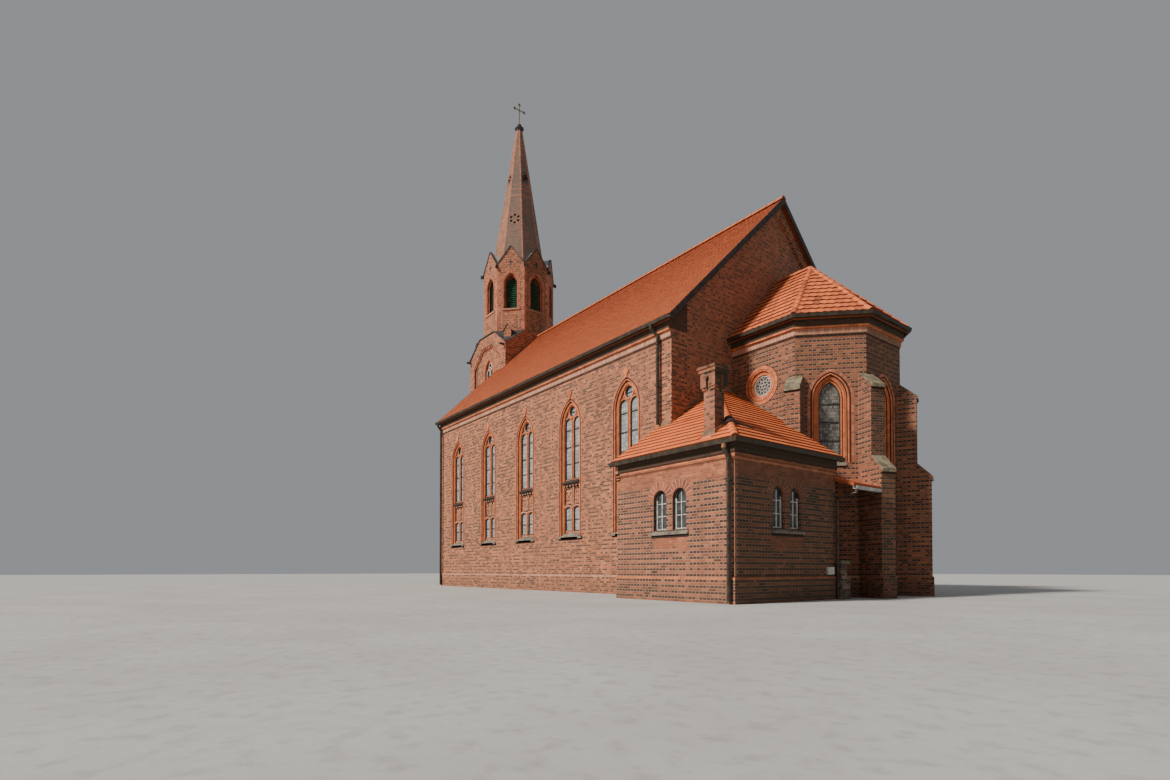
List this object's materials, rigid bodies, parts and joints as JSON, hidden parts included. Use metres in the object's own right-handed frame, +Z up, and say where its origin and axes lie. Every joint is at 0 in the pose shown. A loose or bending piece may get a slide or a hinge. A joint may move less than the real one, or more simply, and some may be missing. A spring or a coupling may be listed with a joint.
{
  "type": "church building",
  "caption": "Brick church with a steep tiled nave, polygonal chancel with buttresses, small lean-to sacristy and a square west tower carrying an octagonal belfry and spire.",
  "frame": {"origin": "on the ground at the middle of the nave, at the underside of its floor", "axes": "+Z up, +X along the nave towards the chancel, -Y towards the sacristy side"},
  "size_m": [26.6475, 14.2636, 30.8],
  "materials": {
    "brick": "fired clay brick, matt",
    "roof_tiles": "plain clay tiles, matt",
    "stone_floor": "stone flags",
    "leaded_glass": "leaded glass, dull",
    "brown_gutters": "dark brown weathered gutters and pipes",
    "door_timber": "stained boards",
    "green_louvres": "green painted louvre boards",
    "lead": "dark weathered metal",
    "gilt": "gilded metal",
    "zinc": "weathered zinc"
  },
  "bodies": {
    "root": {"nave_front_wall": "brick", "nave_back_wall": "brick", "nave_east_gable": "brick", "nave_west_wall_south": "brick", "nave_west_wall_north": "brick", "chancel_south_wall": "brick", "chancel_southeast_wall": "brick", "chancel_east_wall": "brick", "chancel_northeast_wall": "brick", "chancel_north_wall": "brick", "buttress_1": "brick", "buttress_2": "brick", "buttress_3": "brick", "buttress_4": "brick", "sacristy_front_wall": "brick", "sacristy_east_wall": "brick", "sacristy_west_wall": "brick", "sacristy_north_wall": "brick", "sacristy_chimney": "brick", "porch_pier": "brick", "tower_base": "brick", "tower_belfry": "brick", "tower_spire": "brick", "nave_roof": "roof_tiles", "chancel_roof": "roof_tiles", "sacristy_roof": "roof_tiles", "porch_roof": "roof_tiles", "nave_floor": "stone_floor", "chancel_floor": "stone_floor", "sacristy_floor": "stone_floor", "tower_floor": "stone_floor", "nave_front_glass": "leaded_glass", "nave_back_glass": "leaded_glass", "chancel_glass": "leaded_glass", "sacristy_glass": "leaded_glass", "tower_glass": "leaded_glass", "nave_front_eaves": "brown_gutters", "nave_back_eaves": "brown_gutters", "chancel_eaves": "brown_gutters", "sacristy_eaves": "brown_gutters", "downpipe_front_east": "brown_gutters", "downpipe_front_west": "brown_gutters", "downpipe_back_east": "brown_gutters", "downpipe_back_west": "brown_gutters", "downpipe_sacristy": "brown_gutters", "sacristy_door": "door_timber", "west_door": "door_timber", "belfry_louvres": "green_louvres", "spire_cap": "lead", "spire_cross": "gilt", "porch_gutter": "zinc", "porch_downpipe": "zinc"}
  },
  "joints": []
}
